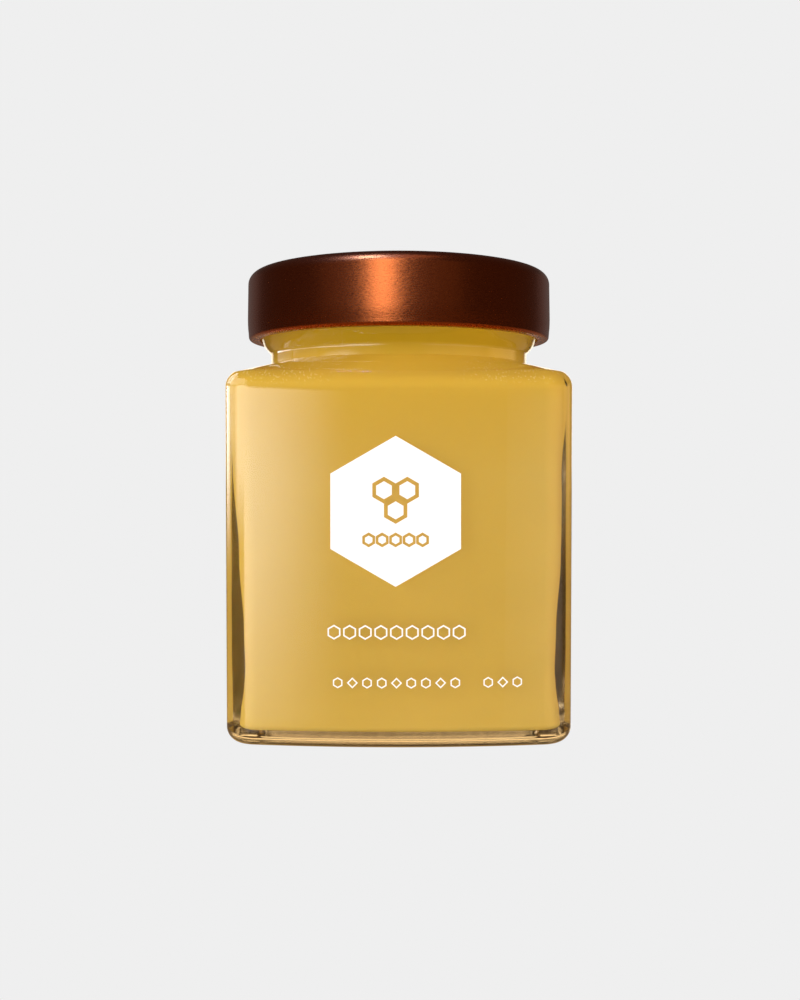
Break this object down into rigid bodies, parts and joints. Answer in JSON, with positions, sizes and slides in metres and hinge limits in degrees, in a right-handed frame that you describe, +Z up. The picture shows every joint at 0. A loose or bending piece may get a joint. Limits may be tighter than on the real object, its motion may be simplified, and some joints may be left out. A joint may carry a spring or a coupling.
{
  "type": "honey jar",
  "caption": "Square clear glass jar with bowed faces, full of creamed honey, closed by a deep copper-coloured metal lid, with a hexagon label on the front.",
  "frame": {"origin": "middle of the base, on the surface that the jar stands on", "axes": "+Z up, the label faces -Y, +X to the right of someone who looks at the label"},
  "size_m": [0.0722, 0.0727, 0.0958],
  "materials": {
    "glass": "clear, polished",
    "honey": "opaque, creamy",
    "lid": "satin copper lacquer on tinplate",
    "label": "matt white with gold print"
  },
  "bodies": {
    "root": {"glass_jar": "glass", "honey": "honey", "lid": "lid", "front_label": "label"}
  },
  "joints": []
}
